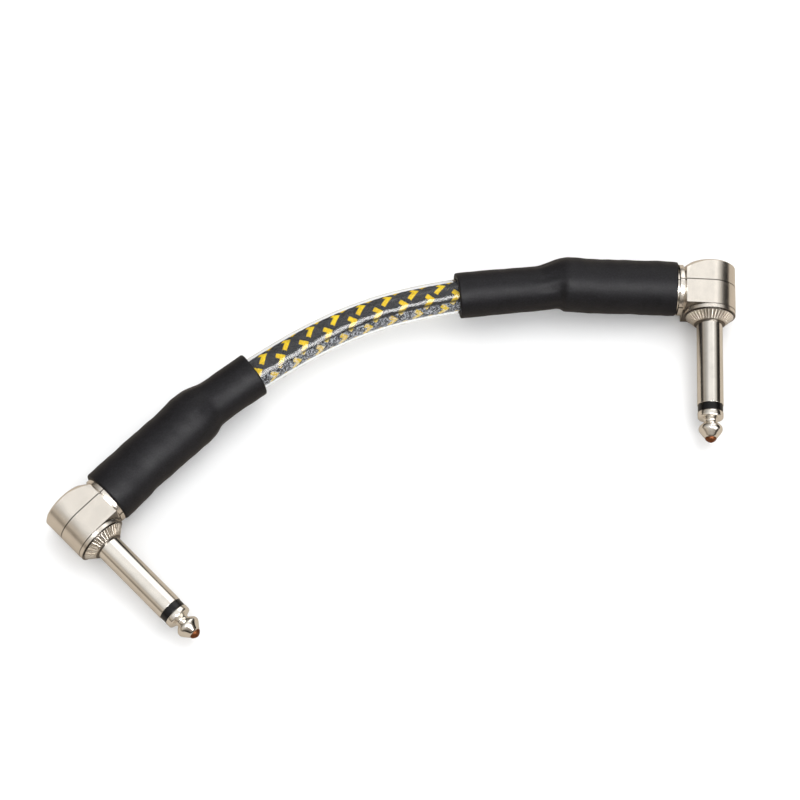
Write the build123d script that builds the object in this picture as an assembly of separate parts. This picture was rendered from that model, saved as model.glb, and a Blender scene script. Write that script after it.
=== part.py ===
from build123d import *
import math
import os

# Short right-angle patch cable for electric instruments: two 6.35 mm mono
# plugs, each with its shaft at 90 degrees to the cable, a heat-shrink
# sleeve over each cable entry, and one coaxial lead under a textile braid
# with a clear outer jacket.  Millimetres, +Z up, lying on the plane z = 0.

# ------------------------------------------------------------ driving sizes
# plug, in its own frame: +X along the shaft to the tip, +Y out along the
# cable, origin where the two axes cross
SHAFT_R = 3.175            # 6.35 mm plug shaft
SHAFT_START = 8.95         # shoulder where the shaft leaves the collar
TIP_END = 39.60            # far end of the tip rivet
INSUL_START = TIP_END - 9.5
INSUL_END = TIP_END - 7.6
INSUL_R = 3.06

BODY_R = 6.40              # half width of the D-shaped housing
BODY_FLAT_Y = 6.40         # cable-side face, from the shaft axis
BODY_BACK = -6.20
BODY_SEAM = -0.50          # joint between back cap and body
BODY_FRONT = 5.70
WALL = 1.00
CAP_WALL = 0.60
BACK_WALL = 0.90
CHAMFER_R0 = 5.80          # cone radius at the back plane
CHAMFER_K = 1.220          # radial growth per mm of length

RING_R = 6.35              # smooth ring in front of the housing
RING_END = 6.72
GROOVE_R = 5.75
GROOVE_END = 6.90
CONE_R1 = 5.95             # fluted cone, large and small end
CONE_R2 = 3.70
FLUTES = 40
FLUTE_DEPTH = 0.16

BARREL_END = 36.0
BARREL_RO = 5.30
BARREL_RI = 4.75
BARREL_FLANGE = (6.80, 7.90)
BARREL_FLANGE_R = 6.25
BARREL_NECK_R = 5.70
SPIGOT_R = 4.20
SPIGOT_BORE_R = 3.60

# heat-shrink sleeves: distance out along the cable axis, outer radius; the
# shrunk tube sits a little off the barrel's axis (towards the plug's back,
# and down), and its narrow end a little off the cable
SLEEVE_START = 7.95
SLEEVE_PROFILE = {
    "left": [(7.95, 6.62), (8.35, 6.80), (12.0, 6.85), (16.0, 6.76),
             (20.0, 6.64), (30.0, 6.66), (34.0, 6.76), (37.0, 6.66),
             (39.0, 6.32), (41.0, 5.78), (43.0, 5.58)],
    "right": [(7.95, 6.45), (8.35, 6.60), (15.0, 6.66), (30.0, 6.70),
              (35.0, 6.72), (36.2, 6.56), (37.0, 6.34), (38.0, 6.02),
              (39.0, 5.80), (40.0, 5.66), (43.0, 5.58)],
}
SLEEVE_OFF = {"left": (0.50, -0.22), "right": (0.45, -0.42)}
SLEEVE_NARROW_OFF = {"left": 0.15, "right": 0.42}
SLEEVE_NARROW_R = 5.55
SLEEVE_BORE_R = BARREL_RO + 0.02
SLEEVE_STEP = 37.0         # inner bore narrows here
SLEEVE_CABLE_R = 4.24

# cable layers, inner and outer radius
CABLE_R = 4.20
LAYERS = {
    # name: (inner r, outer r, distance from the plug axis where it starts)
    "clear_jacket": (3.02, CABLE_R, 7.60),
    "textile_braid": (2.78, 3.00, 7.40),
    "inner_jacket": (2.14, 2.76, 6.10),
    "copper_shield": (1.90, 2.12, 4.90),
    "semiconductive_layer": (1.62, 1.88, 4.20),
    "dielectric": (0.57, 1.60, 3.30),
    "centre_conductor": (0.0, 0.55, -0.90),
}

# pose of each plug as the cable lies: axis crossing point, heading of the
# shaft, nose-down angle, and how far the cable side rises
PLANE_TILT = math.radians(5.4)
Z_AXIS = 6.704
LEFT = dict(x=-74.967, y=-31.775, yaw=-44.98, pitch=3.1, rise=2.2, side=1,
            sleeve_mouth=54.8)
RIGHT = dict(x=76.187, y=28.804, yaw=-91.97, pitch=3.1, rise=2.2, side=-1,
             sleeve_mouth=62.2)

# shift of the whole object so that the origin is below its centre
SHIFT = (0.375, 11.522)

# route of the cable between the two barrels, control points in plan
ARCH = [(-31.7, 7.9), (-17.9, 16.5), (-3.5, 22.6), (11.4, 26.15), (25.0, 28.35)]

os.makedirs("parts", exist_ok=True)


# ------------------------------------------------------------ frames
def vec(a, b, c):
    return Vector(a, b, c)


def plug_axes(p):
    yaw = math.radians(p["yaw"])
    pt = math.radians(p["pitch"])
    q = math.radians(p["rise"])
    sh = vec(math.cos(yaw), math.sin(yaw), 0)
    up = vec(0, 0, 1)
    s = sh * math.cos(pt) - up * math.sin(pt)
    ch = vec(-math.sin(yaw), math.cos(yaw), 0) * p["side"]
    n = s.cross(ch) * p["side"]
    c = ch * math.cos(q) + n * math.sin(q)
    o = vec(p["x"] + SHIFT[0], p["y"] + SHIFT[1], Z_AXIS)
    return o, s.normalized(), c.normalized()


def plug_plane(p):
    o, s, c = plug_axes(p)
    return Plane(origin=o, x_dir=s, z_dir=s.cross(c))


def plane_height(x, y):
    """Height of the cable axis: the whole piece lies in one tilted plane."""
    ux, uy = RIGHT["x"] - LEFT["x"], RIGHT["y"] - LEFT["y"]
    n = math.hypot(ux, uy)
    ux, uy = ux / n, uy / n
    d = -(x - LEFT["x"]) * uy + (y - LEFT["y"]) * ux
    return Z_AXIS + math.tan(PLANE_TILT) * d


# ------------------------------------------------------------ helpers
def turned(points):
    """Solid of revolution about X from (x, r) points, closed on the axis."""
    pts = [(points[0][0], 0.0)] + list(points) + [(points[-1][0], 0.0)]
    with BuildPart() as b:
        with BuildSketch(Plane.XY):
            with BuildLine():
                Polyline(*pts, close=True)
            make_face()
        revolve(axis=Axis.X, revolution_arc=360)
    return b.part.solid()


def cyl(axis, r, a, b):
    """Cylinder of radius r about X or Y from a to b."""
    if axis == "X":
        pl = Plane(origin=(a, 0, 0), x_dir=(0, 1, 0), z_dir=(1, 0, 0))
    else:
        pl = Plane(origin=(0, a, 0), x_dir=(0, 0, 1), z_dir=(0, 1, 0))
    return extrude(pl * Circle(r), amount=b - a).solid()


def d_block(r, flat_y, x0, x1):
    """D-shaped bar along X: half round on -Y, flats out to flat_y."""
    pl = Plane(origin=(x0, 0, 0), x_dir=(0, 1, 0), z_dir=(1, 0, 0))
    with BuildSketch(pl) as sk:
        Circle(r)
        with Locations((flat_y / 2, 0)):
            Rectangle(flat_y, 2 * r)
        # trim what the circle adds beyond the flat face
        with Locations((flat_y + r / 2, 0)):
            Rectangle(r, 2.2 * r, mode=Mode.SUBTRACT)
    return extrude(sk.sketch, amount=x1 - x0).solid()


def one(shape):
    s = shape.solids()
    if len(s) != 1:
        print("  note: %d solids" % len(s))
    return max(s, key=lambda q: q.volume)


# ------------------------------------------------------------ plug pieces
def make_plug():
    out = {}
    # back cone: leaves the round side almost whole, cuts the two corners
    far = BODY_BACK + (9.5 - CHAMFER_R0) / CHAMFER_K
    cone = turned([(BODY_BACK, CHAMFER_R0), (far, 9.5), (12.0, 9.5)])

    spigot_r = BODY_R - CAP_WALL
    spigot_y = BODY_FLAT_Y - CAP_WALL
    inner_r = spigot_r - 0.9
    inner_y = BODY_FLAT_Y - 1.5
    back_in = BODY_BACK + BACK_WALL

    # body: front shell, rear spigot for the cap, ring
    body = d_block(BODY_R, BODY_FLAT_Y, BODY_SEAM, BODY_FRONT)
    body = body + d_block(spigot_r, spigot_y, back_in + 0.45, BODY_SEAM)
    body = body + cyl("X", RING_R, BODY_FRONT, RING_END)
    body = body + cyl("X", GROOVE_R, RING_END, GROOVE_END)
    body = body & cone
    body = body - d_block(inner_r, inner_y, -9.0, 3.6)
    body = body - cyl("X", 2.55, 3.0, GROOVE_END + 1)
    body = body - cyl("Y", SPIGOT_R, 0.0, BODY_FLAT_Y + 2)
    out["plug_housing"] = one(body)

    # back cap: deep drawn cover over the spigot, notched for the barrel
    cap = d_block(BODY_R, BODY_FLAT_Y, BODY_BACK, BODY_SEAM)
    cap = cap & cone
    hollow = d_block(spigot_r + 0.01, spigot_y + 0.01, back_in, 1.0)
    cone_in = turned([(back_in, CHAMFER_R0 - 0.35),
                      (back_in + (9.5 - CHAMFER_R0 + 0.35) / CHAMFER_K, 9.5),
                      (12.0, 9.5)])
    cap = cap - (hollow & cone_in)
    cap = cap - cyl("Y", SPIGOT_R + 0.01, 1.0, BODY_FLAT_Y + 2)
    out["back_cap"] = one(cap)
    # spigot follows the inside of the cap's cone
    out["plug_housing"] = one(out["plug_housing"] & turned(
        [(back_in + 0.05, CHAMFER_R0 - 0.45),
         (back_in + 0.05 + (12.0 - CHAMFER_R0 + 0.45) / CHAMFER_K, 12.0),
         (14.0, 12.0)]))

    # fluted collar: cone with radial grooves down to the shaft
    col = turned([(GROOVE_END, CONE_R1), (SHAFT_START, CONE_R2)])
    length = SHAFT_START - GROOVE_END
    slope = (CONE_R1 - CONE_R2) / length
    cut_w = 0.34
    x_a, x_b = GROOVE_END - 0.2, SHAFT_START - 0.35
    flute = None
    pts = [(x_a, CONE_R1 + slope * 0.2 + 0.3),
           (x_a, CONE_R1 + slope * 0.2 - FLUTE_DEPTH),
           (x_b, CONE_R2 + slope * 0.35 - FLUTE_DEPTH),
           (x_b, CONE_R2 + slope * 0.35 + 0.3)]
    with BuildPart() as fb:
        with BuildSketch(Plane.XY):
            with BuildLine():
                Polyline(*pts, close=True)
            make_face()
        extrude(amount=cut_w / 2, both=True)
    tool = fb.part.solid()
    cuts = [tool.rotate(Axis.X, 360.0 / FLUTES * i) for i in range(FLUTES)]
    col = col - cuts
    col = col - cyl("X", 2.56, GROOVE_END - 1, SHAFT_START + 1)
    out["shaft_collar"] = one(col)

    # shaft tube: sleeve contact, with a tail staked into the housing
    shaft = cyl("X", SHAFT_R, SHAFT_START, INSUL_START)
    shaft = shaft + cyl("X", 2.54, 3.7, SHAFT_START)
    shaft = shaft + cyl("X", 3.05, 2.75, 3.60)
    shaft = shaft + cyl("X", 2.54, 3.55, 3.75)
    shaft = shaft - cyl("X", 1.86, 0.0, 40.0)
    out["shaft_sleeve"] = one(shaft)

    # insulating tube in the shaft, and the ring that shows at the tip
    tube = cyl("X", 1.84, 2.75, INSUL_START) - cyl("X", 1.12, 0.0, 60.0)
    out["insulating_tube"] = one(tube)
    # (moulded with a slight taper, as is the tip's flange)
    ring = turned([(INSUL_START, INSUL_R + 0.01), (INSUL_END - 0.12, INSUL_R - 0.01),
                   (INSUL_END, INSUL_R - 0.10)]) - cyl("X", 1.12, 0.0, 60.0)
    out["insulator_ring"] = one(ring)

    # tip contact: flange, neck, ball
    t = TIP_END
    tip = turned([
        (INSUL_END, 3.06), (INSUL_END + 0.10, 3.13), (t - 6.35, 3.11),
        (t - 6.15, 2.98), (t - 5.75, 2.05), (t - 5.45, 1.66),
        (t - 5.10, 1.60), (t - 4.85, 1.80), (t - 4.45, 2.30),
        (t - 4.00, 2.72), (t - 3.60, 2.88), (t - 3.25, 2.90),
        (t - 2.90, 2.80), (t - 2.40, 2.48), (t - 1.80, 2.02),
        (t - 1.20, 1.55), (t - 1.12, 1.40)]) - cyl("X", 1.12, 0.0, 60.0)
    out["tip_contact"] = one(tip)

    # rod through the shaft, riveted over at the tip
    rod = turned([
        (1.00, 0.80), (1.75, 0.80), (1.75, 1.10), (t - 1.12, 1.10),
        (t - 1.12, 1.38), (t - 0.95, 1.42), (t - 0.60, 1.22),
        (t - 0.28, 0.80), (t - 0.06, 0.35), (t, 0.12)])
    out["tip_rod"] = one(rod)

    # insulating washer and solder lug at the rod's rear end
    wash = cyl("X", 3.00, 1.75, 2.72) - cyl("X", 1.12, 0.0, 5.0)
    out["lug_washer"] = one(wash)
    with BuildPart() as lb:
        with BuildSketch(Plane(origin=(1.30, 0, 0), x_dir=(0, 1, 0),
                               z_dir=(1, 0, 0))):
            with Locations((0.6, 0)):
                RectangleRounded(4.4, 2.6, 0.9)
            Circle(0.82, mode=Mode.SUBTRACT)
        extrude(amount=0.42)
    out["tip_lug"] = one(lb.part)

    # solder: a fillet of metal between lug and centre conductor
    sol = cyl("Y", 1.15, 1.15, 2.35).rotate(Axis.Y, 0)
    sol = sol.translate(Vector(0.15, 0, 0))
    sol = sol - cyl("Y", 0.62, 0.0, 4.0)
    sol = sol & Box(2.6, 8, 4).translate(Vector(-0.02, 0, 0))
    sol = sol - Box(2.0, 8, 4).translate(Vector(2.28, 0, 0))
    out["tip_solder"] = one(sol)

    # ferrule that grips the shield inside the barrel's spigot
    fer = cyl("Y", SPIGOT_BORE_R - 0.02, 4.95, 5.95) - \
        cyl("Y", 2.16, 0.0, 9.0)
    out["shield_ferrule"] = one(fer)

    # barrel: tube that carries the cable into the housing
    bar = cyl("Y", BARREL_RO, BARREL_FLANGE[1], BARREL_END)
    bar = bar + cyl("Y", BARREL_FLANGE_R, *BARREL_FLANGE)
    bar = bar + cyl("Y", BARREL_NECK_R, BODY_FLAT_Y, BARREL_FLANGE[0])
    bar = bar + cyl("Y", SPIGOT_R - 0.02, 4.35, BODY_FLAT_Y)
    bar = bar - cyl("Y", BARREL_RI, 7.3, 60.0)
    bar = bar - cyl("Y", SPIGOT_BORE_R, 0.0, 8.0)
    out["cable_barrel"] = one(bar)
    return out


# ------------------------------------------------------------ cable route
def along(p, dist, side=0.0):
    """Point on a barrel axis, and shifted by side towards the plug's back."""
    o, s, c = plug_axes(p)
    return o + c * dist - s * side


def route(start_l, start_r):
    l1, l2 = along(LEFT, 23.0, -0.05), along(LEFT, 41.5, 0.20)
    r1, r2 = along(RIGHT, 22.5, 0.20), along(RIGHT, 38.5, -0.15)
    l0 = l1 + (along(LEFT, 7.6, 0.0) - l1) * ((23.0 - start_l) / 15.4)
    r0 = r1 + (along(RIGHT, 7.6, 0.0) - r1) * ((22.5 - start_r) / 14.9)
    mid = [vec(x + SHIFT[0], y + SHIFT[1], plane_height(x, y))
           for x, y in ARCH]
    return [l0, l1, l2] + mid + [r2, r1, r0]


def arcs(pts):
    radii, turns = [], []
    for a, b, c in zip(pts, pts[1:], pts[2:]):
        u, v = (b - a), (c - b)
        half = math.radians(u.get_angle(v)) / 2
        radii.append(0.45 * min(u.length, v.length) / math.tan(half))
        turns.append(math.degrees(2 * half))
    return radii, turns


def path(pts):
    radii, _ = arcs(pts)
    return FilletPolyline(*pts, radius=radii)


def tube(pts, ri, ro):
    line = path(pts)
    start = Plane(origin=line @ 0, z_dir=line % 0)
    body = sweep(start * Circle(ro), path=line)
    if ri > 0:
        body = body - sweep(start * Circle(ri), path=line)
    return one(body), line


def sub_route(p, pts, first, last):
    """Part of the route's polyline, cut at two distances along it."""
    out, run = [], 0.0
    for a, b in zip(pts, pts[1:]):
        seg = (b - a).length
        for t in (first, last):
            if run < t <= run + seg:
                out.append((t, a + (b - a) * ((t - run) / seg)))
        run += seg
        if first < run < last:
            out.append((run, b))
    out.sort(key=lambda q: q[0])
    return [q[1] for q in out]


# ------------------------------------------------------------ build
nodes = {}
proto = make_plug()
for name, plug in (("left", LEFT), ("right", RIGHT)):
    loc = plug_plane(plug).location
    for key, solid in proto.items():
        nodes["%s_%s" % (name, key)] = solid.moved(loc)

cable_line = None
for key, (ri, ro, start) in LAYERS.items():
    pts = route(start, start)
    solid, line = tube(pts, ri, ro)
    nodes[key] = solid
    area = math.pi * (ro * ro - ri * ri)
    print("%-22s length %.2f  volume %.2f  section x length %.2f" %
          (key, line.length, solid.volume, area * line.length))
    if key == "clear_jacket":
        cable_line = line
        radii, turns = arcs(pts)
        print("  route", [tuple(round(v, 3) for v in q) for q in pts])
        print("  runs", [round((b - a).length, 2)
                         for a, b in zip(pts, pts[1:])])
        print("  turns", [round(v, 2) for v in turns])
        print("  radii", [round(v, 1) for v in radii])

# heat-shrink sleeves: straight over the barrel, then shrunk onto the cable
for name, plug in (("left", LEFT), ("right", RIGHT)):
    pts = route(7.6, 7.6)
    if name == "right":
        pts = pts[::-1]
    loc = plug_plane(plug).location
    with BuildPart() as sb:
        with BuildSketch(Plane.XY):
            with BuildLine():
                prof = [(r, y) for y, r in SLEEVE_PROFILE[name]]
                Polyline((0, SLEEVE_START), *prof,
                         (0, prof[-1][1]), close=True)
            make_face()
        revolve(axis=Axis.Y, revolution_arc=360)
    back, rise = SLEEVE_OFF[name]
    outer = sb.part.solid().translate(
        Vector(-back, 0, rise * plug["side"])).moved(loc)
    # narrow part follows the cable's own route
    total = sum((b - a).length for a, b in zip(pts, pts[1:]))
    end = plug["sleeve_mouth"] - 7.6
    line = path(pts)
    t0, t1 = 31.0 / line.length, end / line.length
    seg = line.trim(t0, t1)
    start = Plane(origin=seg @ 0, z_dir=seg % 0)
    narrow = sweep(start * Circle(SLEEVE_NARROW_R), path=seg)
    narrow = narrow.translate(plug_axes(plug)[1] * SLEEVE_NARROW_OFF[name])
    body = outer + narrow
    full = line.trim(0.0, min(1.0, (end + 8) / line.length))
    st = Plane(origin=full @ 0, z_dir=full % 0)
    body = body - sweep(st * Circle(SLEEVE_CABLE_R), path=full)
    body = body - cyl("Y", SLEEVE_BORE_R, 5.0, SLEEVE_STEP).moved(loc)
    nodes["%s_heat_shrink" % name] = one(body)

low = None
lo = [1e9] * 3
hi = [-1e9] * 3
for key, solid in nodes.items():
    solid.label = key
    export_step(solid, "parts/%s.step" % key)
    if key in LAYERS:
        continue
    bb = solid.bounding_box()
    for i, (a, b) in enumerate(zip(bb.min, bb.max)):
        if i == 2 and a < lo[2]:
            low = key
        lo[i] = min(lo[i], a)
        hi[i] = max(hi[i], b)
print("nodes", len(nodes))
print("box", [round(v, 3) for v in lo], [round(v, 3) for v in hi],
      "lowest", low)
print("centre", round((lo[0] + hi[0]) / 2, 3), round((lo[1] + hi[1]) / 2, 3))
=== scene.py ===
import math

import bmesh
import bpy
import numpy as np
from mathutils import Matrix, Vector


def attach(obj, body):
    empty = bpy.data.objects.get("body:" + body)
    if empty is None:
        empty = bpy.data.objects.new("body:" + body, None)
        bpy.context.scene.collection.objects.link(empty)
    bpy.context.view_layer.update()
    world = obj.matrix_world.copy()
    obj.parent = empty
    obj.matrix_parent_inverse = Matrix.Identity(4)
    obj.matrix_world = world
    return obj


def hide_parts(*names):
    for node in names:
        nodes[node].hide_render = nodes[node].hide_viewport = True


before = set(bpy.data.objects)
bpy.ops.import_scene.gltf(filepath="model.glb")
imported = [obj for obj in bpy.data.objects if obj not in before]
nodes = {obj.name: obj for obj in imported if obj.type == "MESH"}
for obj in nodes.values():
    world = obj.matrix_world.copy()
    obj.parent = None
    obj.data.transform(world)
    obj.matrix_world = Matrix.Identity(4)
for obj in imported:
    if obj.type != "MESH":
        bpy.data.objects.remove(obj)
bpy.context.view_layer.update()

MM = 0.001
scene = bpy.context.scene
col = scene.collection

# ------------------------------------------------------------------ camera
SHIFT = Vector((0.375, 11.522, 0.0)) * MM
ELEV = math.radians(66.0)
DIST = 598.4 * MM
cam_data = bpy.data.cameras.new("camera")
cam_data.sensor_width = 36.0
cam_data.lens = 111.24
cam_data.clip_start, cam_data.clip_end = 0.01, 20.0
cam = bpy.data.objects.new("camera", cam_data)
target = Vector((0.0, 0.0, 5.70 * MM)) + SHIFT
fwd = Vector((0.0, math.cos(ELEV), -math.sin(ELEV)))
cam.location = target - fwd * DIST
cam.rotation_mode = "QUATERNION"
cam.rotation_quaternion = fwd.to_track_quat("-Z", "Y")
col.objects.link(cam)
scene.camera = cam
scene.view_settings.view_transform = "Standard"
scene.view_settings.look = "None"

# ------------------------------------------------------------------ the plugs' own axes
Z_AXIS = 6.704


class Plug:
    def __init__(self, side_name, x, y, yaw, pitch, rise, side):
        yaw, pt, q = map(math.radians, (yaw, pitch, rise))
        up = Vector((0, 0, 1))
        sh = Vector((math.cos(yaw), math.sin(yaw), 0))
        s = sh * math.cos(pt) - up * math.sin(pt)
        ch = Vector((-math.sin(yaw), math.cos(yaw), 0)) * side
        n = s.cross(ch) * side
        self.name = side_name
        self.s = s.normalized()
        self.c = (ch * math.cos(q) + n * math.sin(q)).normalized()
        self.up = self.s.cross(self.c) * side
        self.o = Vector((x, y, Z_AXIS)) * MM + SHIFT

    def at(self, dist, back=0.0):
        """Point dist mm out along the cable axis, moved back mm away from the tip."""
        return self.o + self.c * (dist * MM) - self.s * (back * MM)


LEFT = Plug("left", -74.967, -31.775, -44.98, 3.1, 2.2, 1)
RIGHT = Plug("right", 76.187, 28.804, -91.97, 3.1, 2.2, -1)


# ------------------------------------------------------------------ the cable's line
def lerp(a, b, t):
    return a + (b - a) * t


ROUTE = [Vector(p) * MM for p in (
    (-69.213, -14.892, 6.995), (-58.277, -4.065, 7.583), (-45.359, 9.161, 8.306),
    (-31.325, 19.422, 8.664), (-17.525, 28.022, 8.933), (-3.125, 34.122, 8.962),
    (11.775, 37.672, 8.749), (25.375, 39.872, 8.464), (38.105, 41.419, 8.172),
    (54.097, 41.252, 7.577), (68.972, 40.571, 6.995))]


def nurbs_points(name, pts, resolution=20):
    """Points of the one smooth line that has pts as its control points."""
    cu = bpy.data.curves.new(name, "CURVE")
    cu.dimensions = "3D"
    sp = cu.splines.new("NURBS")
    sp.points.add(len(pts) - 1)
    for p, v in zip(sp.points, pts):
        p.co = (v[0], v[1], v[2], 1.0)
    sp.order_u = 3
    sp.use_endpoint_u = True
    sp.resolution_u = resolution
    ob = bpy.data.objects.new(name, cu)
    col.objects.link(ob)
    bpy.context.view_layer.update()
    me = bpy.data.meshes.new_from_object(
        ob.evaluated_get(bpy.context.evaluated_depsgraph_get()))
    co = np.array([v.co for v in me.vertices], float)
    bpy.data.objects.remove(ob)
    bpy.data.curves.remove(cu)
    bpy.data.meshes.remove(me)
    return co


class Line:
    """A polyline read by its length, with a frame that does not twist."""

    def __init__(self, co):
        keep = np.r_[True, np.linalg.norm(np.diff(co, axis=0), axis=1) > 1e-9]
        self.p = co[keep]
        d = np.diff(self.p, axis=0)
        seg = np.linalg.norm(d, axis=1)
        self.s = np.r_[0.0, np.cumsum(seg)]
        self.length = float(self.s[-1])
        t = np.zeros_like(self.p)
        t[1:-1] = self.p[2:] - self.p[:-2]
        t[0], t[-1] = d[0], d[-1]
        self.t = t / np.linalg.norm(t, axis=1)[:, None]

    def at(self, s):
        """Position, tangent, up-side normal and across normal at lengths s."""
        s = np.asarray(s, float)
        q = np.clip(s, 0.0, self.length)
        p = np.stack([np.interp(q, self.s, self.p[:, i]) for i in range(3)], -1)
        t = np.stack([np.interp(q, self.s, self.t[:, i]) for i in range(3)], -1)
        t /= np.linalg.norm(t, axis=-1)[..., None]
        p = p + t * (s - q)[..., None]
        up = np.zeros_like(t)
        up[..., 2] = 1.0
        n = up - t * np.sum(up * t, -1)[..., None]
        n /= np.linalg.norm(n, axis=-1)[..., None]
        b = np.cross(n, t)
        return p, t, n, b


cable = Line(nurbs_points("cable_route", ROUTE))

CABLE_R = 4.20 * MM


# ------------------------------------------------------------------ mesh helpers
def mesh_object(name, verts, faces, smooth=True, slots=None, face_slots=None):
    me = bpy.data.meshes.new(name)
    me.from_pydata([tuple(v) for v in verts], [], [tuple(f) for f in faces])
    me.update()
    if smooth:
        me.polygons.foreach_set("use_smooth", [True] * len(me.polygons))
    for m in slots or []:
        me.materials.append(m)
    if face_slots is not None:
        me.polygons.foreach_set("material_index", list(face_slots))
    me.validate()
    ob = bpy.data.objects.new(name, me)
    col.objects.link(ob)
    return ob


def grid_faces(rows, cols, wrap_cols=True, wrap_rows=False, offset=0):
    out = []
    for i in range(rows if wrap_rows else rows - 1):
        i2 = (i + 1) % rows
        for j in range(cols if wrap_cols else cols - 1):
            j2 = (j + 1) % cols
            out.append((offset + i * cols + j, offset + i * cols + j2,
                        offset + i2 * cols + j2, offset + i2 * cols + j))
    return out


def pipe(name, line, s0, s1, ri, ro, step, around, material, wobble=None):
    """Closed pipe (or rod when ri is 0) along a line, between two lengths."""
    n = max(2, int(round((s1 - s0) / step)) + 1)
    s = np.linspace(s0, s1, n)
    p, t, nn, b = line.at(s)
    th = np.linspace(0, 2 * math.pi, around, endpoint=False)
    rings, radii = [], []
    edge = min(0.25 * MM, (ro - ri) * 0.3 if ri else ro * 0.3)
    prof = [(s[0], ro - edge)] + [(x, ro) for x in s[1:-1]] + [(s[-1], ro - edge)]
    ext = [s[0] + edge] if n > 2 else []
    outer_s = np.concatenate([[s[0]], [s[0] + edge], s[1:-1], [s[-1] - edge], [s[-1]]])
    outer_r = np.concatenate([[ro - edge], [ro], np.full(n - 2, ro), [ro], [ro - edge]])
    verts, faces = [], []

    def ring(ss, rr):
        pp, tt, n2, b2 = line.at(np.array([ss]))
        w = 0.0 if wobble is None else wobble(ss, th)
        r = rr + w
        return (pp[0] + np.outer(np.cos(th) * r, n2[0]) + np.outer(np.sin(th) * r, b2[0]))

    for ss, rr in zip(outer_s, outer_r):
        rings.append(ring(ss, rr))
    if ri > 0:
        for ss in outer_s[::-1][1:-1]:
            rings.append(ring(ss, ri))
        verts = np.concatenate(rings)
        faces = grid_faces(len(rings), around, True, True)
    else:
        verts = np.concatenate(rings)
        faces = grid_faces(len(rings), around, True, False)
        a, z = len(verts), len(verts) + 1
        verts = np.concatenate([verts, [line.at(np.array([s0]))[0][0]],
                                [line.at(np.array([s1]))[0][0]]])
        last = (len(rings) - 1) * around
        for j in range(around):
            faces.append((j, a, (j + 1) % around))
            faces.append((last + (j + 1) % around, z, last + j))
    ob = mesh_object(name, verts, faces, slots=[material])
    fix_normals(ob)
    return ob


def fix_normals(ob):
    bm = bmesh.new()
    bm.from_mesh(ob.data)
    bmesh.ops.recalc_face_normals(bm, faces=bm.faces)
    bm.to_mesh(ob.data)
    bm.free()
    ob.data.update()


# ------------------------------------------------------------------ materials
class Mat:
    """A node material with a Principled shader and short helpers."""

    def __init__(self, name):
        self.m = bpy.data.materials.new(name)
        self.m.use_nodes = True
        self.t = self.m.node_tree
        self.b = self.t.nodes["Principled BSDF"]
        self.out = self.t.nodes["Material Output"]

    def n(self, kind, **props):
        node = self.t.nodes.new(kind)
        for k, v in props.items():
            setattr(node, k, v)
        return node

    def link(self, a, b):
        self.t.links.new(a, b)

    def put(self, **vals):
        for k, v in vals.items():
            self.b.inputs[k.replace("_", " ")].default_value = v

    def coord(self):
        return self.n("ShaderNodeTexCoord").outputs["Object"]

    def noise(self, vec, scale, detail=3.0, rough=0.5, distortion=0.0):
        k = self.n("ShaderNodeTexNoise")
        k.inputs["Scale"].default_value = scale
        k.inputs["Detail"].default_value = detail
        k.inputs["Roughness"].default_value = rough
        k.inputs["Distortion"].default_value = distortion
        self.link(vec, k.inputs["Vector"])
        return k.outputs["Fac"]

    def math(self, op, a, b=None, c=None, clamp=False):
        k = self.n("ShaderNodeMath", operation=op, use_clamp=clamp)
        for i, v in enumerate((a, b, c)):
            if v is None:
                continue
            if isinstance(v, (int, float)):
                k.inputs[i].default_value = v
            else:
                self.link(v, k.inputs[i])
        return k.outputs[0]

    def vmath(self, op, a, b=None):
        k = self.n("ShaderNodeVectorMath", operation=op)
        for i, v in enumerate((a, b)):
            if v is None:
                continue
            if isinstance(v, (tuple, list, Vector)):
                k.inputs[i].default_value = tuple(v)
            else:
                self.link(v, k.inputs[i])
        return k

    def ramp(self, fac, stops):
        k = self.n("ShaderNodeValToRGB")
        el = k.color_ramp.elements
        while len(el) < len(stops):
            el.new(0.5)
        for e, (pos, c) in zip(el, stops):
            e.position = pos
            e.color = (*c, 1.0) if len(c) == 3 else c
        self.link(fac, k.inputs["Fac"])
        return k.outputs["Color"]

    def mix(self, fac, a, b, blend="MIX"):
        k = self.n("ShaderNodeMix", data_type="RGBA", blend_type=blend)
        for sock, v in ((k.inputs["Factor"], fac), (k.inputs["A"], a), (k.inputs["B"], b)):
            sock = [x for x in k.inputs if x.name == sock.name and x.type == (
                "VALUE" if sock.name == "Factor" else "RGBA")][0]
            if isinstance(v, (int, float)):
                sock.default_value = v
            elif isinstance(v, (tuple, list)):
                sock.default_value = (*v, 1.0) if len(v) == 3 else v
            else:
                self.link(v, sock)
        return [o for o in k.outputs if o.type == "RGBA"][0]

    def bump(self, height, distance, strength=1.0, normal=None):
        k = self.n("ShaderNodeBump")
        k.inputs["Distance"].default_value = distance
        k.inputs["Strength"].default_value = strength
        self.link(height, k.inputs["Height"])
        if normal is not None:
            self.link(normal, k.inputs["Normal"])
        return k.outputs["Normal"]


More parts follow.
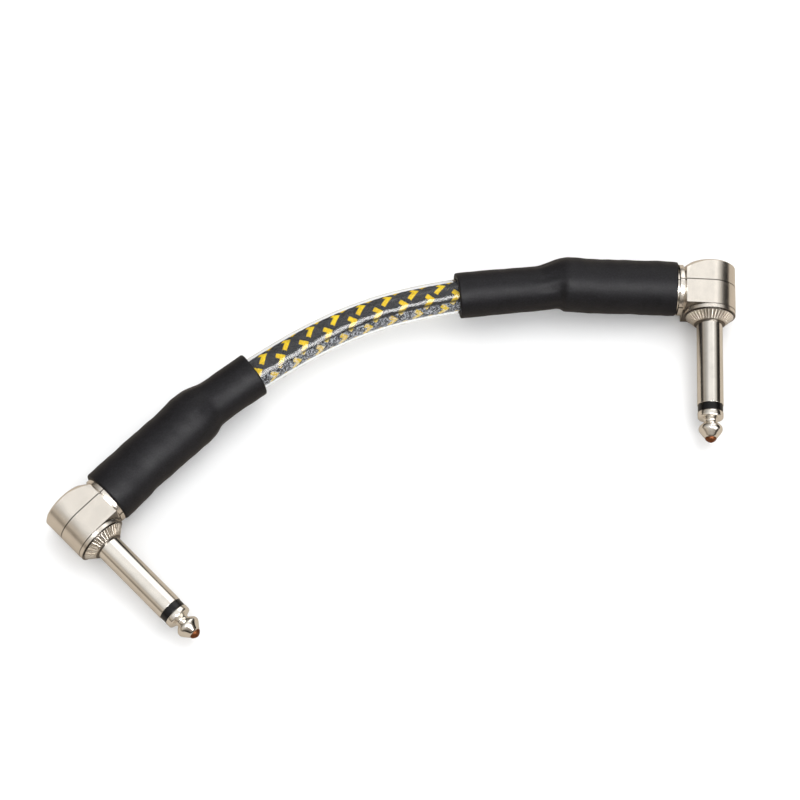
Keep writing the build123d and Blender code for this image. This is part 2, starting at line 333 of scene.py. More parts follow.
def nickel(name, plug, base, rough, grain, lines, seams=()):
    """Nickel plate, with turned lines round the shaft axis and fine wear.

    seams: (distance along the shaft axis, half width, depth of the shadow)
    of the fine joints, where shade is painted dark into the colour.
    """
    m = Mat(name)
    m.put(Metallic=1.0)
    rel = m.vmath("SUBTRACT", m.coord(), plug.o).outputs[0]
    along = m.vmath("DOT_PRODUCT", rel, plug.s).outputs["Value"]
    cloud = m.noise(rel, 260.0, 4.0, 0.6)
    fine = m.noise(rel, 2600.0, 3.0, 0.6)
    comb = m.n("ShaderNodeCombineXYZ")
    m.link(m.math("MULTIPLY", along, 9000.0), comb.inputs[0])
    turned = m.noise(comb.outputs[0], 1.0, 2.0, 0.7)
    tint = m.ramp(cloud, [(0.30, [c * 0.93 for c in base]), (0.50, base),
                          (0.72, [min(1.0, c * 1.04) for c in base])])
    r = m.math("MULTIPLY_ADD", m.math("SUBTRACT", cloud, 0.5), 0.16, rough)
    r = m.math("MULTIPLY_ADD", m.math("SUBTRACT", turned, 0.5), lines, r)
    # painted shade: each fine joint is darkened in the colour, where the shade in the gap falls
    for where, half, depth in seams:
        off = m.math("ABSOLUTE", m.math("SUBTRACT", along, where * MM))
        k = m.n("ShaderNodeMapRange", interpolation_type="SMOOTHSTEP")
        m.link(off, k.inputs["Value"])
        k.inputs["From Min"].default_value = half * 1.5 * MM
        k.inputs["From Max"].default_value = half * 0.6 * MM
        painted_seam_shade = m.math("MULTIPLY", k.outputs["Result"], depth)
        tint = m.mix(painted_seam_shade, tint, (0.030, 0.022, 0.016))
    m.link(tint, m.b.inputs["Base Color"])
    m.link(m.math("MAXIMUM", r, 0.04), m.b.inputs["Roughness"])
    n1 = m.bump(turned, 0.0015 * MM * lines * 20, 1.0)
    n2 = m.bump(fine, grain * MM, 1.0, n1)
    m.link(n2, m.b.inputs["Normal"])
    return m.m


def shrink_sleeve():
    """Heat-shrink tube: matt black, pebbled by the recovery, lightly scuffed."""
    m = Mat("heat_shrink_black")
    m.put(Specular_IOR_Level=0.24)
    vec = m.coord()
    pebble = m.noise(vec, 2600.0, 3.0, 0.62)
    cell = m.n("ShaderNodeTexVoronoi", feature="F1")
    cell.inputs["Scale"].default_value = 1900.0
    m.link(vec, cell.inputs["Vector"])
    swell = m.noise(vec, 210.0, 3.0, 0.5)
    scuff = m.noise(vec, 700.0, 5.0, 0.75, 0.6)
    dust = m.noise(vec, 5200.0, 2.0, 0.5)
    c = m.ramp(swell, [(0.25, (0.0018, 0.0016, 0.0026)), (0.75, (0.0040, 0.0037, 0.0050))])
    s = m.ramp(scuff, [(0.60, (0.0, 0.0, 0.0)), (0.80, (1.0, 1.0, 1.0))])
    c = m.mix(m.math("MULTIPLY", s, 0.35), c, (0.024, 0.024, 0.026))
    d = m.ramp(dust, [(0.70, (0.0, 0.0, 0.0)), (0.78, (1.0, 1.0, 1.0))])
    c = m.mix(m.math("MULTIPLY", d, 0.18), c, (0.085, 0.085, 0.088))
    grit = m.ramp(pebble, [(0.40, (0.0, 0.0, 0.0)), (0.66, (1.0, 1.0, 1.0))])
    c = m.mix(m.math("MULTIPLY", grit, 0.55), c, (0.0135, 0.0128, 0.0160))
    m.link(c, m.b.inputs["Base Color"])
    r = m.math("MULTIPLY_ADD", m.math("SUBTRACT", swell, 0.5), 0.16, 0.50)
    r = m.math("MULTIPLY_ADD", m.math("SUBTRACT", pebble, 0.5), 0.18, r)
    m.link(r, m.b.inputs["Roughness"])
    h = m.math("MULTIPLY_ADD", cell.outputs["Distance"], 0.35, pebble)
    n1 = m.bump(swell, 0.10 * MM, 0.6)
    m.link(m.bump(h, 0.040 * MM, 1.0, n1), m.b.inputs["Normal"])
    return m.m


def yarn(name, dark, mid, light, rough, sheen_tint):
    """Plaited polyester yarn: filament streaks, cloudy dye, soft sheen."""
    m = Mat(name)
    m.put(Specular_IOR_Level=0.20)
    m.b.inputs["Sheen Weight"].default_value = 0.03
    m.b.inputs["Sheen Roughness"].default_value = 0.4
    m.b.inputs["Sheen Tint"].default_value = (*sheen_tint, 1.0)
    vec = m.coord()
    cloud = m.noise(vec, 420.0, 3.0, 0.6)
    speck = m.noise(vec, 3800.0, 2.0, 0.55)
    c = m.ramp(cloud, [(0.28, dark), (0.5, mid), (0.75, light)])
    k = m.ramp(speck, [(0.35, (0.62, 0.62, 0.62)), (0.68, (1.25, 1.25, 1.25))])
    c = m.mix(0.70, c, k, "MULTIPLY")
    # painted reflection on the lower side of the braid: a pale haze and glints are painted into the
    # yarn colour there
    gap = m.n("ShaderNodeAttribute", attribute_name="gap").outputs["Fac"]
    line = m.n("ShaderNodeAttribute", attribute_name="painted_dark_line").outputs["Fac"]
    painted_glint_noise = m.noise(vec, 2300.0, 3.0, 0.7, 0.8)
    g = m.ramp(painted_glint_noise, [(0.50, (0.0, 0.0, 0.0)), (0.58, (1.0, 1.0, 1.0))])
    c = m.mix(m.math("MULTIPLY", gap, 0.12), c, (0.16, 0.165, 0.18))
    c = m.mix(m.math("MULTIPLY", m.math("MULTIPLY", g, gap), 0.72), c, (0.80, 0.82, 0.87))
    # painted dark line along the edge of the painted glints, standing in for a dark reflection
    c = m.mix(m.math("MULTIPLY", line, 0.88), c, (0.004, 0.004, 0.005))
    m.link(c, m.b.inputs["Base Color"])
    m.link(m.math("MULTIPLY_ADD", m.math("SUBTRACT", speck, 0.5), 0.3, rough),
           m.b.inputs["Roughness"])
    m.link(m.bump(speck, 0.012 * MM, 0.6), m.b.inputs["Normal"])
    return m.m


def clear_jacket_material():
    """Clear PVC. Light from lamps and bounced light pass straight in."""
    m = Mat("clear_pvc_jacket")
    m.put(IOR=1.20)
    m.b.inputs["Transmission Weight"].default_value = 1.0
    m.b.inputs["Coat Weight"].default_value = 0.78
    m.b.inputs["Coat Roughness"].default_value = 0.05
    m.b.inputs["Coat IOR"].default_value = 1.5
    m.b.inputs["Base Color"].default_value = (0.955, 0.970, 0.985, 1.0)
    vec = m.coord()
    ripple = m.noise(vec, 330.0, 3.0, 0.55)
    smear = m.noise(vec, 900.0, 4.0, 0.6)
    m.link(m.ramp(smear, [(0.35, (0.015, 0.015, 0.015)), (0.75, (0.07, 0.07, 0.07))]),
           m.b.inputs["Roughness"])
    m.link(m.bump(ripple, 0.012 * MM, 0.4), m.b.inputs["Normal"])
    path = m.n("ShaderNodeLightPath")
    soft = m.math("MAXIMUM", path.outputs["Is Shadow Ray"], path.outputs["Is Diffuse Ray"])
    clear = m.n("ShaderNodeBsdfTransparent")
    clear.inputs["Color"].default_value = (0.96, 0.975, 0.99, 1.0)
    mixer = m.n("ShaderNodeMixShader")
    m.link(soft, mixer.inputs[0])
    m.link(m.b.outputs[0], mixer.inputs[1])
    m.link(clear.outputs[0], mixer.inputs[2])
    m.link(mixer.outputs[0], m.out.inputs["Surface"])
    return m.m


def plain_plastic(name, colour, rough, grain, spec=0.5):
    m = Mat(name)
    m.put(Specular_IOR_Level=spec)
    vec = m.coord()
    n = m.noise(vec, 1500.0, 3.0, 0.6)
    c = m.ramp(n, [(0.3, [x * 0.85 for x in colour]), (0.7, [min(1, x * 1.12) for x in colour])])
    m.link(c, m.b.inputs["Base Color"])
    m.link(m.math("MULTIPLY_ADD", m.math("SUBTRACT", n, 0.5), 0.12, rough),
           m.b.inputs["Roughness"])
    m.link(m.bump(n, grain * MM, 0.5), m.b.inputs["Normal"])
    return m.m


def metal(name, colour, rough, grain):
    m = Mat(name)
    m.put(Metallic=1.0)
    vec = m.coord()
    n = m.noise(vec, 1200.0, 4.0, 0.65)
    c = m.ramp(n, [(0.25, [x * 0.62 for x in colour]), (0.55, colour),
                   (0.8, [min(1, x * 1.15) for x in colour])])
    m.link(c, m.b.inputs["Base Color"])
    m.link(m.math("MULTIPLY_ADD", m.math("SUBTRACT", n, 0.5), 0.25, rough),
           m.b.inputs["Roughness"])
    m.link(m.bump(n, grain * MM, 0.6), m.b.inputs["Normal"])
    return m.m


SATIN = (0.76, 0.715, 0.655)
SATIN_DEEP = (0.56, 0.515, 0.455)
BRIGHT = (0.80, 0.765, 0.71)
sleeve_mat = shrink_sleeve()
jacket_mat = clear_jacket_material()
charcoal = yarn("yarn_charcoal", (0.006, 0.006, 0.008), (0.013, 0.0135, 0.016),
                (0.034, 0.035, 0.040), 0.42, (0.8, 0.85, 1.0))
yellow = yarn("yarn_yellow", (0.66, 0.41, 0.0), (0.82, 0.54, 0.0),
              (0.94, 0.67, 0.004), 0.50, (1.0, 0.9, 0.5))
black_pvc = plain_plastic("inner_jacket_black", (0.012, 0.012, 0.013), 0.45, 0.01)
carbon_pvc = plain_plastic("carbon_layer", (0.010, 0.010, 0.010), 0.6, 0.01)
natural_pe = plain_plastic("natural_polyethylene", (0.78, 0.77, 0.73), 0.4, 0.01)
gloss_black = plain_plastic("insulator_black", (0.003, 0.003, 0.0035), 0.22, 0.002, 0.30)
copper = metal("bare_copper", (0.78, 0.40, 0.24), 0.32, 0.01)
brass = metal("rivet_brass", (0.20, 0.070, 0.030), 0.45, 0.012)
lug_brass = metal("lug_brass", (0.72, 0.53, 0.28), 0.35, 0.008)
tin = metal("solder_tin", (0.66, 0.67, 0.69), 0.28, 0.02)

# ------------------------------------------------------------------ cable: jacket
rng = np.random.default_rng(7)


def jacket_wobble(s, th):
    u = s / MM
    return MM * (0.020 * np.sin(u * 0.55 + 0.4) * np.cos(th - 0.8)
                 + 0.016 * np.sin(u * 1.13 + 2.0 * np.cos(2 * th)))


jacket = pipe("cable_clear_jacket", cable, 0.0, cable.length, 2.42 * MM, CABLE_R,
              0.45 * MM, 72, jacket_mat, jacket_wobble)

# ------------------------------------------------------------------ cable: braid
BRAID_R = 2.72 * MM
CARRIERS = 12
PITCH = 19.9 * MM
YARN_W = 1.12 * MM
YARN_T = 0.24 * MM
LIFT = 0.13 * MM
PHASE_S = 3.2 * MM
PHASE_PHI = math.radians(11.0)
# angle round the cable where the painted haze and glints on the braid's lower side begin
PAINTED_GLINT_PHI = math.radians(-42.0)


def floats(u, kind, index):
    """+1 where this yarn lies on top, -1 where it dives, along its crossings."""
    def g(k):
        hit = np.mod(index + k, 4)
        return np.where(hit == 3, -kind, kind)
    k0 = np.floor(u)
    f = u - k0
    f = np.clip((f - 0.5) * 2.2 + 0.5, 0, 1)
    f = f * f * (3 - 2 * f)
    return g(k0) * (1 - f) + g(k0 + 1) * f


def braid(name, line, s0, s1, fine0, fine1):
    filaments = 5
    prof_x = np.linspace(-0.5, 0.5, filaments * 4 + 1)
    bump_h = np.abs(np.cos(prof_x * filaments * math.pi + math.pi / 2)) ** 0.8
    crown = 1.0 - (2 * prof_x) ** 2 * 0.55
    top = 0.5 * crown * (0.62 + 0.38 * bump_h)
    bottom = -0.42 * (1.0 - (2 * prof_x) ** 4 * 0.6)
    xs = np.concatenate([prof_x, prof_x[::-1][::4][1:-1]])
    hs = np.concatenate([top, bottom[::-1][::4][1:-1]])
    m = len(xs)
    verts, faces, slots, angle = [], [], [], []
    offset = 0
    beta = math.atan(2 * math.pi * BRAID_R / PITCH)
    for kind in (1, -1):
        for i in range(CARRIERS):
            a, b = s0, s1
            s = [a]
            while s[-1] < b:
                inside = fine0 - 2 * MM < s[-1] < fine1 + 2 * MM
                s.append(s[-1] + (0.24 if inside else 0.8) * MM)
            s = np.array(s)
            phi = PHASE_PHI + 2 * math.pi * i / CARRIERS + kind * 2 * math.pi * (s - PHASE_S) / PITCH
            u = i + kind * 24.0 * (s - PHASE_S) / PITCH
            # kind 1 counts the other set's yarns upward, kind -1 downward
            lift = floats(u, kind, i) * LIFT
            jit = rng.normal(0, 1, 6)
            wv = 1.0 + 0.03 * np.sin(s / MM * 0.9 + jit[0]) + 0.015 * jit[1]
            sway = 0.035 * MM * np.sin(s / MM * 1.7 + jit[2] * 2)
            x = xs[None, :] * (YARN_W * wv)[:, None] + sway[:, None]
            r = BRAID_R + lift[:, None] + hs[None, :] * YARN_T
            S = s[:, None] - kind * x * math.sin(beta)
            PHI = phi[:, None] + x * math.cos(beta) / BRAID_R
            S = np.clip(S, 0, line.length)
            p, t, n, bb = line.at(S)
            v = p + r[..., None] * (np.cos(PHI)[..., None] * n + np.sin(PHI)[..., None] * bb)
            verts.append(v.reshape(-1, 3))
            angle.append(np.angle(np.exp(1j * PHI)).reshape(-1))
            f = grid_faces(len(s), m, True, False, offset)
            f.append(tuple(offset + j for j in range(m)))
            f.append(tuple(offset + (len(s) - 1) * m + j for j in range(m))[::-1])
            faces += f
            is_yellow = (i % 4 == 0) if kind == 1 else (i % 4 == 2)
            slots += [1 if is_yellow else 0] * len(f)
            offset += len(s) * m
    ob = mesh_object(name, np.concatenate(verts), faces, slots=[charcoal, yellow],
                     face_slots=slots)
    fix_normals(ob)
    ang = np.concatenate(angle)
    # the braid's lower side, by angle round the cable, where the yarn colour gets a painted haze and
    # glints
    painted_glint_side = np.clip((PAINTED_GLINT_PHI - ang) / math.radians(9.0), 0, 1)
    # a thin band at the edge of that side, where the yarn colour gets a painted dark line
    edge = np.clip(1 - np.abs(ang - (PAINTED_GLINT_PHI - math.radians(3.5))) / math.radians(8.0), 0, 1)
    for key, val in (("gap", painted_glint_side), ("painted_dark_line", np.clip(edge * 2.2, 0, 1))):
        at = ob.data.attributes.new(key, "FLOAT", "POINT")
        at.data.foreach_set("value", val.astype(np.float32))
    return ob


def nearest_s(line, point):
    d = np.linalg.norm(line.p - np.array(point), axis=1)
    return float(line.s[int(np.argmin(d))])


MOUTH_L = nearest_s(cable, np.array((-34.60 * MM, 17.1 * MM, 8.6 * MM)))
MOUTH_R = nearest_s(cable, np.array((14.36 * MM, 38.15 * MM, 8.7 * MM)))
textile = braid("cable_textile_braid", cable, 0.6 * MM, cable.length - 0.6 * MM,
                MOUTH_L, MOUTH_R)

# ------------------------------------------------------------------ cable: inside
START = {"inner_jacket": (2.14, 2.40, 6.10, black_pvc, 1.6),
         "copper_shield": (1.90, 2.12, 4.90, copper, 1.6),
         "semiconductive_layer": (1.62, 1.88, 4.20, carbon_pvc, 2.0),
         "dielectric": (0.57, 1.60, 3.30, natural_pe, 2.0),
         "centre_conductor": (0.0, 0.55, -0.90, copper, 2.0)}
inner = []
for key, (ri, ro, start, mat, step) in START.items():
    pts = list(ROUTE)
    pts[0] = lerp(ROUTE[1], ROUTE[0], (23.0 - start) / 15.4)
    pts[-1] = lerp(ROUTE[-2], ROUTE[-1], (22.5 - start) / 14.9)
    ln = Line(nurbs_points(key + "_route", pts, 12))
    ob = pipe("cable_" + key, ln, 0.0, ln.length, ri * MM, ro * MM, step * MM, 32, mat)
    inner.append(ob)

for ob, node, slot_name in (
        (jacket, "clear_jacket", "clear_pvc"), (textile, "textile_braid", "braid_yarn"),
        (inner[0], "inner_jacket", "black_pvc"), (inner[1], "copper_shield", "copper"),
        (inner[2], "semiconductive_layer", "conductive_black"),
        (inner[3], "dielectric", "white_insulator"),
        (inner[4], "centre_conductor", "copper")):
    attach(ob, "root")
    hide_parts(node)

way = cable.at(np.linspace(0, cable.length, 160))[0]


# ------------------------------------------------------------------ heat-shrink sleeves
def smooth01(x):
    x = np.clip(x, 0, 1)
    return x * x * (3 - 2 * x)


def soften(a, w):
    k = np.hanning(2 * w + 3)
    k /= k.sum()
    pad = np.r_[np.full(w + 1, a[0]), a, np.full(w + 1, a[-1])]
    return np.convolve(pad, k, "valid")


def sleeve(name, plug, mouth_s, from_left, table, slant, seed):
    """Sleeve shrunk over barrel and cable.

    table: (distance, radius, shift back, shift up) in mm; slant: how far the
    end by the plug is cut back at the top and towards the tip.
    """
    rr = np.random.default_rng(seed)
    total = cable.length
    end = (mouth_s if from_left else total - mouth_s) / MM + 7.6
    c0 = 7.95
    d = np.concatenate([np.linspace(c0, c0 + 0.7, 8)[:-1],
                        np.arange(c0 + 0.7, end - 0.6, 0.40),
                        np.linspace(end - 0.6, end, 8)])
    tab = np.array(table)
    grid = np.linspace(c0, end, 500)
    rad, back, rise = (np.interp(d, grid, soften(np.interp(grid, tab[:, 0], tab[:, j]), w))
                       for j, w in ((1, 6), (2, 12), (3, 12)))
    axis = np.array([plug.at(x) for x in d])
    s_cab = (d - 7.6) * MM
    s_cab = s_cab if from_left else total - s_cab
    pc = cable.at(s_cab)[0]
    w = smooth01((d - 31.0) / 11.0)[:, None]
    core = axis * (1 - w) + pc * w
    line = (core - np.outer(back * MM, np.array(plug.s))
            + np.outer(rise * MM, np.array((0, 0, 1.0))))
    ln = Line(line)
    around = 144
    th = np.linspace(0, 2 * math.pi, around, endpoint=False)
    ph = rr.uniform(0, 2 * math.pi, 14)

    def relief(dd, t):
        """Slow unevenness of the shrunk tube, in mm."""
        thick = 1.0 - smooth01((dd - 38) / 5.0)
        v = (0.040 * np.sin(dd * 0.23 + ph[0]) * np.cos(t + ph[1])
             + 0.050 * np.sin(dd * 0.41 + ph[2] + 1.3 * np.cos(t + ph[3]))
             + 0.035 * np.cos(2 * t + ph[4] + dd * 0.11)
             + 0.032 * np.sin(dd * 0.90 + ph[5]) * np.cos(3 * t + ph[6])
             + 0.020 * np.sin(dd * 1.6 + ph[7] + 2 * np.cos(2 * t + ph[8])))
        # faint lengthwise pleats where the tube shrinks from barrel to cable
        near = math.exp(-((dd - 40.5) / 3.4) ** 2)
        v = v + near * (0.060 * np.cos(9 * t + ph[9]) + 0.045 * np.cos(14 * t + ph[10]))
        # a soft ring where the barrel ends inside
        v = v + 0.07 * math.exp(-((dd - 35.4) / 1.1) ** 2)
        return v * (0.55 + 0.45 * thick)

    outer, inner_r = [], []
    P, T, N, B = ln.at(ln.s)
    sdir = np.array(plug.s)
    for k, dd in enumerate(d):
        lipa = min(1.0, (dd - c0) / 0.60)
        lipb = min(1.0, (end - dd) / 0.50)
        edge = 0.46 * (1 - math.sqrt(max(0.0, 1 - (1 - lipa) ** 2)))
        edge += 0.36 * (1 - math.sqrt(max(0.0, 1 - (1 - lipb) ** 2)))
        fade = min(1.0, (dd - c0) / 3.0) * 0.8 + 0.2
        r = (rad[k] + relief(dd, th) * fade - edge) * MM
        radial = np.outer(np.cos(th), N[k]) + np.outer(np.sin(th), B[k])
        # the cut is slanted: push the rings near the plug along the axis
        push = max(0.0, 1.0 - (dd - c0) / 6.0) * MM * (
            slant[0] * np.clip(radial @ np.array((0, 0, 1.0)), 0, 1)
            + slant[1] * (radial @ sdir))
        # the cut at the cable end wanders a little
        wander = max(0.0, 1.0 - (end - dd) / 4.0) * MM * (
            0.16 * np.cos(th + ph[11]) + 0.07 * np.cos(3 * th + ph[12]))
        tdir = T[k] if (P[-1] - P[0]) @ T[k] > 0 else -T[k]
        slide = np.outer(np.clip(push, 0, None) - np.abs(wander), tdir)
        outer.append(P[k] + radial * r[:, None] + slide)
        base = 5.34 + (4.30 - 5.34) * float(smooth01(np.array((dd - 32) / 9.0)))
        if dd < c0 + 0.2:
            base = 5.75
        gap = 0.22 * float(smooth01(np.array((dd - (end - 2.5)) / 2.5)))
        r2 = (base + gap) * MM
        inner_r.append(core[k] + radial * r2 + slide)
    rings = outer + inner_r[::-1]
    verts = np.concatenate(rings)
    faces = grid_faces(len(rings), around, True, True)
    ob = mesh_object(name, verts, faces, slots=[sleeve_mat])
    fix_normals(ob)
    return ob


TABLE_L = [(7.9, 6.88, 0.50, -0.22), (9.0, 6.92, 0.50, -0.22), (13, 6.92, 0.52, -0.22),
           (16, 6.80, 0.56, -0.2), (18, 6.62, 0.64, -0.1), (24, 6.62, 0.58, -0.1),
           (30, 6.70, 0.52, -0.1), (33, 6.80, 0.48, 0), (35, 6.80, 0.48, 0),
           (37, 6.74, 0.50, 0), (38, 6.60, 0.48, 0), (39, 6.36, 0.46, 0),
           (40, 6.08, 0.44, 0), (41, 5.78, 0.38, 0), (42, 5.60, 0.30, 0),
           (43, 5.57, 0.24, 0), (45, 5.53, 0.20, 0), (47, 5.54, 0.18, 0),
           (50, 5.56, 0.16, 0), (57, 5.62, 0.33, 0)]
TABLE_R = [(7.9, 6.62, 0.42, -0.30), (9, 6.64, 0.40, -0.30), (12, 6.68, 0.40, -0.25),
           (15, 6.71, 0.36, -0.20), (18, 6.66, 0.22, -0.15), (24, 6.67, 0.12, -0.1),
           (27, 6.66, 0.06, -0.1), (30, 6.74, 0.10, 0), (33, 6.79, 0.12, 0),
           (35, 6.77, 0.14, 0), (36, 6.62, 0.16, 0), (37, 6.34, 0.14, 0), (38, 6.00, 0.0, 0),
           (39, 5.76, -0.18, 0), (40, 5.62, -0.36, 0), (41, 5.51, -0.48, 0),
           (42, 5.50, -0.54, 0), (45, 5.54, -0.53, 0), (50, 5.57, -0.44, 0),
           (56, 5.60, -0.20, 0), (60, 5.61, 0.00, 0), (64, 5.62, 0.15, 0)]
sleeve_l = sleeve("left_sleeve", LEFT, MOUTH_L, True, TABLE_L, (0.0, 0.0), 3)
sleeve_r = sleeve("right_sleeve", RIGHT, MOUTH_R, False, TABLE_R, (0.45, 0.25), 11)
for ob, node in ((sleeve_l, "left_heat_shrink"), (sleeve_r, "right_heat_shrink")):
    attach(ob, "root")
    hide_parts(node)


# ------------------------------------------------------------------ plug pieces from the frame
def dress(node_name, material, bevel=0.0, angle=32.0, seg=3):
    """Keeps a CAD node's shape: welds its seams, softens its edges."""
    ob = nodes[node_name]
    me = ob.data
    me.materials.clear()
    me.materials.append(material)
    me.polygons.foreach_set("use_smooth", [True] * len(me.polygons))
    if "custom_normal" in me.attributes:
        me.attributes.remove(me.attributes["custom_normal"])
    weld = ob.modifiers.new("weld", "WELD")
    weld.merge_threshold = 2e-6
    if bevel > 0:
        bv = ob.modifiers.new("edge", "BEVEL")
        bv.width = bevel * MM
        bv.segments = seg
        bv.limit_method = "ANGLE"
        bv.angle_limit = math.radians(angle)
        bv.harden_normals = False
        bv.use_clamp_overlap = True
        bv.miter_outer = "MITER_ARC"
    wn = ob.modifiers.new("normals", "WEIGHTED_NORMAL")
    wn.keep_sharp = True
    wn.weight = 60
    return ob


for plug in (LEFT, RIGHT):
    side = plug.name + "_"
    satin = nickel(side + "satin_nickel", plug, SATIN, 0.24, 0.0012, 0.10,
                   ((-0.50, 0.12, 0.92), (5.72, 0.10, 0.80), (6.80, 0.11, 0.85)))
    satin2 = nickel(side + "fluted_nickel", plug, SATIN_DEEP, 0.30, 0.0016, 0.06,
                    ((6.90, 0.10, 0.85), (8.95, 0.12, 0.80)))
    bright = nickel(side + "bright_nickel", plug, BRIGHT, 0.13, 0.0005, 0.05)
    tipped = nickel(side + "tip_nickel", plug, BRIGHT, 0.15, 0.0008, 0.05)
    dress(side + "plug_housing", satin, 0.10)
    dress(side + "back_cap", satin, 0.10)
    dress(side + "shaft_collar", satin2, 0.03, 40.0, 2)
    dress(side + "shaft_sleeve", bright, 0.06)
    dress(side + "insulator_ring", gloss_black, 0.04)
    dress(side + "tip_contact", tipped, 0.0)
    dress(side + "tip_rod", brass, 0.0)
    dress(side + "cable_barrel", satin, 0.08)
    dress(side + "insulating_tube", natural_pe, 0.0)
    dress(side + "lug_washer", gloss_black, 0.04)
    dress(side + "tip_lug", lug_brass, 0.04)
    dress(side + "tip_solder", tin, 0.05)
    dress(side + "shield_ferrule", lug_brass, 0.04)


# ------------------------------------------------------------------ stage and light
def plane(name, size, z):
    ob = mesh_object(name, [(-size, -size, z), (size, -size, z), (size, size, z),
                            (-size, size, z)], [(0, 1, 2, 3)], smooth=False)
    return ob


floor = plane("floor", 4.0, 0.0)
fm = Mat("studio_floor")
fm.put(Roughness=0.62, Specular_IOR_Level=0.25)
fn = fm.noise(fm.coord(), 3.0, 3.0, 0.5)
fm.link(fm.ramp(fn, [(0.3, (0.945, 0.945, 0.945)), (0.7, (0.955, 0.955, 0.955))]),
        fm.b.inputs["Base Color"])
# painted reflection: rays from shiny surfaces see the floor as a darker tan, not its white
low = fm.n("ShaderNodeBsdfDiffuse")
low.inputs["Color"].default_value = (0.50, 0.44, 0.37, 1.0)
pick = fm.n("ShaderNodeMixShader")
seen = fm.n("ShaderNodeLightPath")
fm.link(fm.math("MULTIPLY", seen.outputs["Is Glossy Ray"],
                fm.math("SUBTRACT", 1.0, seen.outputs["Is Transmission Ray"])), pick.inputs[0])
fm.link(fm.b.outputs[0], pick.inputs[1])
fm.link(low.outputs[0], pick.inputs[2])
fm.link(pick.outputs[0], fm.out.inputs["Surface"])
floor.data.materials.append(fm.m)


def softbox(name, loc, aim, size_x, size_y, watts, colour=(1, 1, 1)):
    la = bpy.data.lights.new(name, "AREA")
    la.shape = "RECTANGLE"
    la.size, la.size_y = size_x, size_y
    la.energy = watts
    la.color = colour
    ob = bpy.data.objects.new(name, la)
    ob.location = loc
    ob.rotation_mode = "QUATERNION"
    ob.rotation_quaternion = (Vector(aim) - Vector(loc)).to_track_quat("-Z", "Y")
    col.objects.link(ob)
    return ob


aim = (0.0, 0.0, 0.0)
key = softbox("key", (0.50, 0.42, 1.10), aim, 0.90, 0.90, 4.8, (1.0, 0.995, 0.985))
front = softbox("fill_front", (0.50, -0.90, 1.10), aim, 0.50, 0.50, 2.2)
for lamp in (key, front):
    lamp.visible_glossy = False

world = bpy.data.worlds.new("studio")
scene.world = world
world.use_nodes = True
wt = world.node_tree
wt.nodes.clear()
way_in = wt.nodes.new("ShaderNodeTexCoord").outputs["Generated"]


def w_math(op, a, b=None, c=None, clamp=False):
    k = wt.nodes.new("ShaderNodeMath")
    k.operation, k.use_clamp = op, clamp
    for i, v in enumerate((a, b, c)):
        if isinstance(v, (int, float)):
            k.inputs[i].default_value = v
        elif v is not None:
            wt.links.new(v, k.inputs[i])
    return k.outputs[0]


def w_dot(axis):
    k = wt.nodes.new("ShaderNodeVectorMath")
    k.operation = "DOT_PRODUCT"
    wt.links.new(way_in, k.inputs[0])
    k.inputs[1].default_value = tuple(axis)
    return k.outputs["Value"]


def w_step(value, lo, hi):
    k = wt.nodes.new("ShaderNodeMapRange")
    k.interpolation_type = "SMOOTHSTEP"
    wt.links.new(value, k.inputs["Value"])
    k.inputs["From Min"].default_value = lo
    k.inputs["From Max"].default_value = hi
    return k.outputs["Result"]


def panel(azimuth, elevation, half_w, half_h, soft_w, soft_h, turn=0.0):
    """A soft-edged studio panel as seen from the object, 1 inside it."""
    az, el, tn = map(math.radians, (azimuth, elevation, turn))
    out = Vector((math.sin(az) * math.cos(el), math.cos(az) * math.cos(el), math.sin(el)))
    rt = Vector((math.cos(az), -math.sin(az), 0.0))
    upv = rt.cross(out)
    u = rt * math.cos(tn) + upv * math.sin(tn)
    v = upv * math.cos(tn) - rt * math.sin(tn)
    hw, hh, sw, sh = (math.sin(math.radians(x)) for x in (half_w, half_h, soft_w, soft_h))
    a = w_step(w_math("ABSOLUTE", w_dot(u)), hw + sw, hw - sw)
    b = w_step(w_math("ABSOLUTE", w_dot(v)), hh + sh, hh - sh)
    front_half = w_step(w_dot(out), 0.0, 0.1)
    return w_math("MULTIPLY", w_math("MULTIPLY", a, b), front_half)


def w_add(colour, amount, tint, strength):
    k = wt.nodes.new("ShaderNodeVectorMath")
    k.operation = "SCALE"
    k.inputs[0].default_value = tuple(c * strength for c in tint)
    wt.links.new(amount, k.inputs["Scale"])
    j = wt.nodes.new("ShaderNodeVectorMath")
    j.operation = "ADD"
    wt.links.new(colour, j.inputs[0])
    wt.links.new(k.outputs[0], j.inputs[1])
    return j.outputs[0]


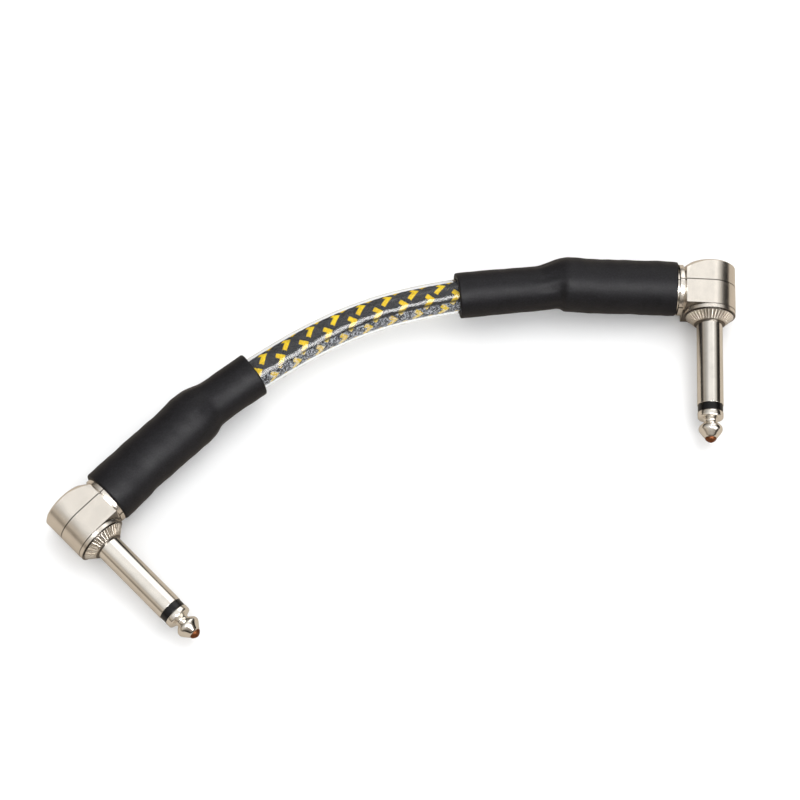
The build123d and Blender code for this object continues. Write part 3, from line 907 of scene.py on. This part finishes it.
# the room as polished pieces see it: dark low down, pale above
rp = wt.nodes.new("ShaderNodeValToRGB")
sky = w_step(w_dot((0, 0, 1)), 0.0, 1.0)
sky.node.interpolation_type = "LINEAR"
wt.links.new(sky, rp.inputs["Fac"])
stops = [(0.00, (0.030, 0.026, 0.022)), (0.20, (0.035, 0.030, 0.026)),
         (0.30, (0.20, 0.175, 0.15)), (0.42, (0.40, 0.365, 0.32)), (0.60, (0.56, 0.53, 0.49)),
         (0.83, (0.92, 0.91, 0.89)), (1.0, (1.10, 1.09, 1.07))]
el = rp.color_ramp.elements
while len(el) < len(stops):
    el.new(0.5)
for e, (pos, c) in zip(el, stops):
    e.position, e.color = pos, (*c, 1.0)
env = rp.outputs["Color"]
env = w_add(env, panel(24, 36, 17, 22, 6, 9), (1.0, 0.99, 0.97), 1.25)
env = w_add(env, panel(243, 10, 32, 20, 10, 8), (1.0, 0.87, 0.70), 0.26)
dark = w_math("MULTIPLY", w_math("MULTIPLY_ADD", panel(70, 17, 28, 17, 8, 7), -0.90, 1.0),
              w_math("MULTIPLY_ADD", panel(306, 47, 20, 15, 12, 8), -0.34, 1.0))
shade = wt.nodes.new("ShaderNodeVectorMath")
shade.operation = "SCALE"
wt.links.new(env, shade.inputs[0])
wt.links.new(dark, shade.inputs["Scale"])
env = shade.outputs[0]
env = w_add(env, panel(141, 55, 30, 7.5, 7, 5.0, 58), (1.0, 1.0, 1.0), 13.0)
bg = wt.nodes.new("ShaderNodeBackground")
wt.links.new(env, bg.inputs["Color"])
soft = wt.nodes.new("ShaderNodeBackground")
soft.inputs["Color"].default_value = (1.10, 1.105, 1.11, 1.0)
bg2 = wt.nodes.new("ShaderNodeBackground")
bg2.inputs["Color"].default_value = (0.97, 0.97, 0.97, 1.0)
lp = wt.nodes.new("ShaderNodeLightPath")
mx = wt.nodes.new("ShaderNodeMixShader")
mx2 = wt.nodes.new("ShaderNodeMixShader")
wo = wt.nodes.new("ShaderNodeOutputWorld")
wt.links.new(w_math("MULTIPLY", lp.outputs["Is Glossy Ray"], w_math(
    "SUBTRACT", 1.0, lp.outputs["Is Transmission Ray"])), mx.inputs[0])
wt.links.new(soft.outputs[0], mx.inputs[1])
wt.links.new(bg.outputs[0], mx.inputs[2])
wt.links.new(lp.outputs["Is Camera Ray"], mx2.inputs[0])
wt.links.new(mx.outputs[0], mx2.inputs[1])
wt.links.new(bg2.outputs[0], mx2.inputs[2])
wt.links.new(mx2.outputs[0], wo.inputs["Surface"])
